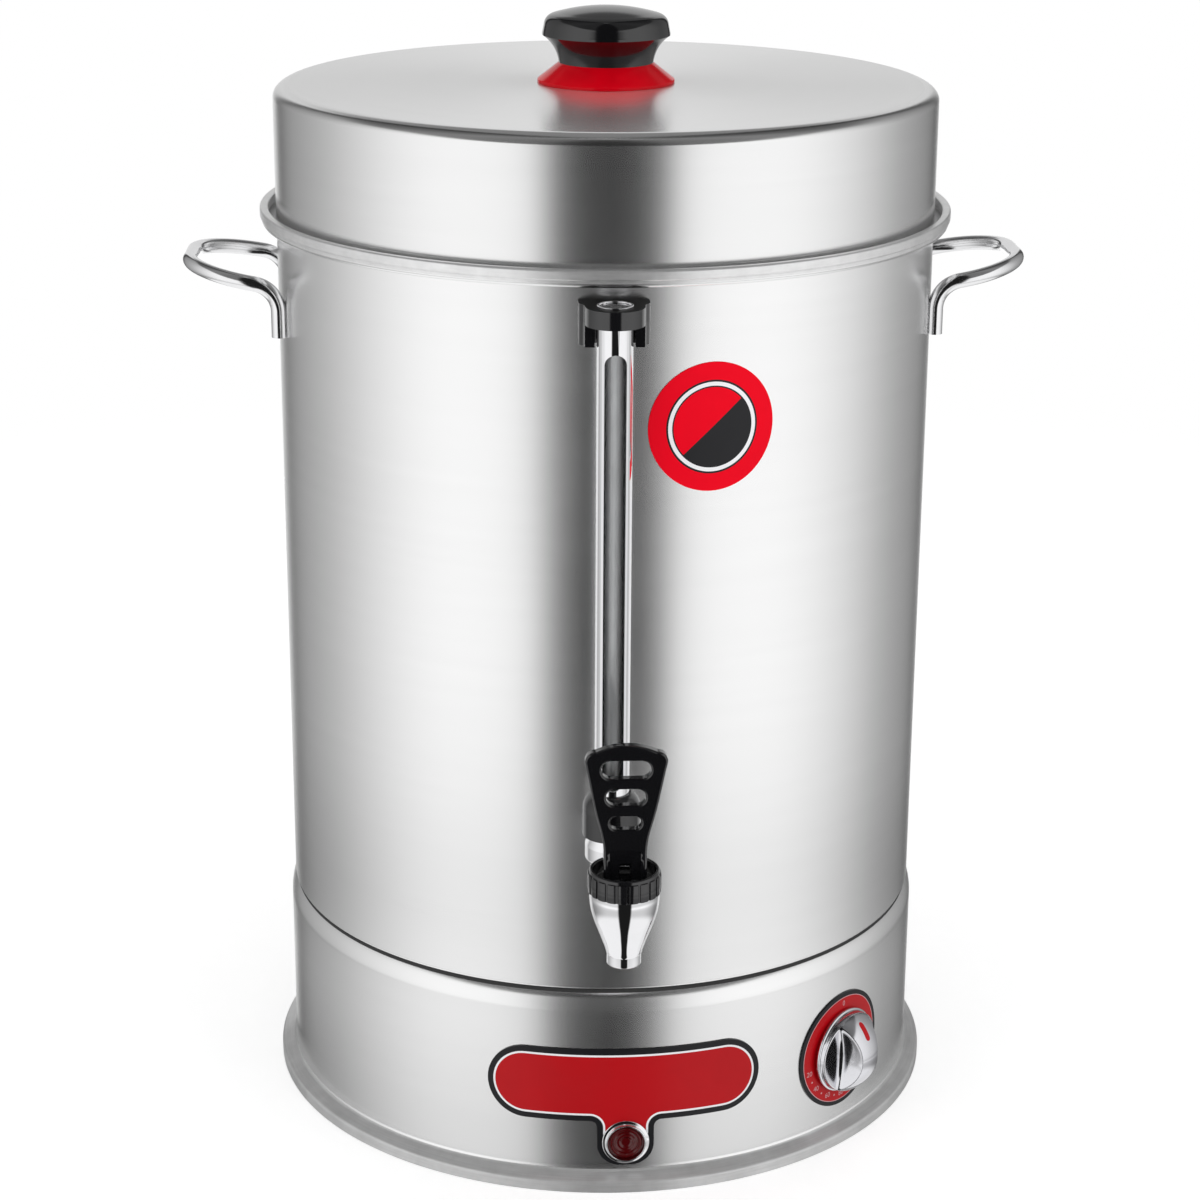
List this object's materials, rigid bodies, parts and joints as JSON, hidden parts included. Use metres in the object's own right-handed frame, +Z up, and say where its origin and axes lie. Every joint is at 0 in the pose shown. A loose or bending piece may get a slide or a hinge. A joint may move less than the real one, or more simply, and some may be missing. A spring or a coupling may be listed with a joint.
{
  "type": "hot water urn",
  "caption": "Tall stainless catering urn with a lift-off lid, side loop handles, front lever tap with sight gauge, and a base with lamp, panel and rotary thermostat.",
  "frame": {"origin": "on the vessel's axis, on the surface the urn stands on", "axes": "+Z up along the vessel's axis, the tap faces -Y, +X to the right seen from the front"},
  "size_m": [0.45, 0.429, 0.596],
  "materials": {
    "stainless": "fine circumferential brushing",
    "polished_steel": "bright polished",
    "chrome": "bright plated",
    "black_plastic": "satin moulded",
    "red_plastic": "satin moulded",
    "black_rubber": "matte",
    "silicone": "matte translucent",
    "clear_glass": "clear",
    "lamp_red": "ribbed translucent",
    "printed_red": "printed film",
    "grey_plastic": "moulded",
    "white_plastic": "moulded",
    "zinc_steel": "zinc plated"
  },
  "bodies": {
    "urn": {"vessel": "stainless", "handle_left": "polished_steel", "handle_right": "polished_steel", "round_label": "printed_red", "base_skirt": "stainless", "base_gasket": "black_rubber", "floor_plate": "zinc_steel", "floor_pillars": "zinc_steel", "floor_screws": "zinc_steel", "rubber_feet": "black_rubber", "heating_element": "stainless", "element_nuts": "zinc_steel", "thermal_cutout": "grey_plastic", "thermostat": "grey_plastic", "thermostat_bulb": "polished_steel", "dial_plate": "printed_red", "name_plate": "printed_red", "lamp_bezel": "chrome", "lamp_lens": "lamp_red", "lamp_body": "grey_plastic", "terminal_block": "white_plastic", "cable_gland": "black_plastic", "tap_body": "chrome", "shank_gaskets": "silicone", "shank_nut": "chrome", "tap_bonnet": "black_plastic", "tap_spring": "polished_steel", "gauge_tee": "chrome", "gauge_nut": "black_plastic", "gauge_seal_lower": "black_rubber", "gauge_guard": "chrome", "gauge_glass": "clear_glass", "gauge_seal_upper": "black_rubber", "gauge_bracket": "black_plastic", "gauge_cap": "chrome", "bracket_screws": "zinc_steel"},
    "lid": {"lid": "stainless", "knob_collar": "red_plastic", "lid_knob": "black_plastic", "knob_screw": "zinc_steel"},
    "stem": {"tap_stem": "polished_steel", "seat_cup": "silicone"},
    "lever": {"lever": "black_plastic", "lever_pin": "polished_steel"},
    "knob": {"thermostat_knob": "chrome", "knob_pointer": "red_plastic", "thermostat_shaft": "zinc_steel"}
  },
  "joints": [
    {"name": "lid_lift", "type": "slide", "parent": "urn", "child": "lid", "axis": [0, 0, 1], "range_m": [0, 0.15]},
    {"name": "stem_lift", "type": "slide", "parent": "urn", "child": "stem", "axis": [0, 0, 1], "range_m": [0, 0.0045], "deforming": ["tap_spring"]},
    {"name": "tap_lever", "type": "hinge", "parent": "stem", "child": "lever", "pos_m": [0, -0.225, 0.2015], "axis": [1, 0, 0], "range_deg": [0, 40], "stiffness_Nm_per_rad": 0.3, "springref_deg": -8.59},
    {"name": "thermostat_turn", "type": "hinge", "parent": "urn", "child": "knob", "pos_m": [0.12543, -0.1263, 0.052], "axis": [-0.7046, 0.7096, 0], "range_deg": [0, 300]}
  ],
  "couplings": [
    {"joint": "stem_lift", "follows": "tap_lever", "m_per_rad": 0.0059}
  ]
}
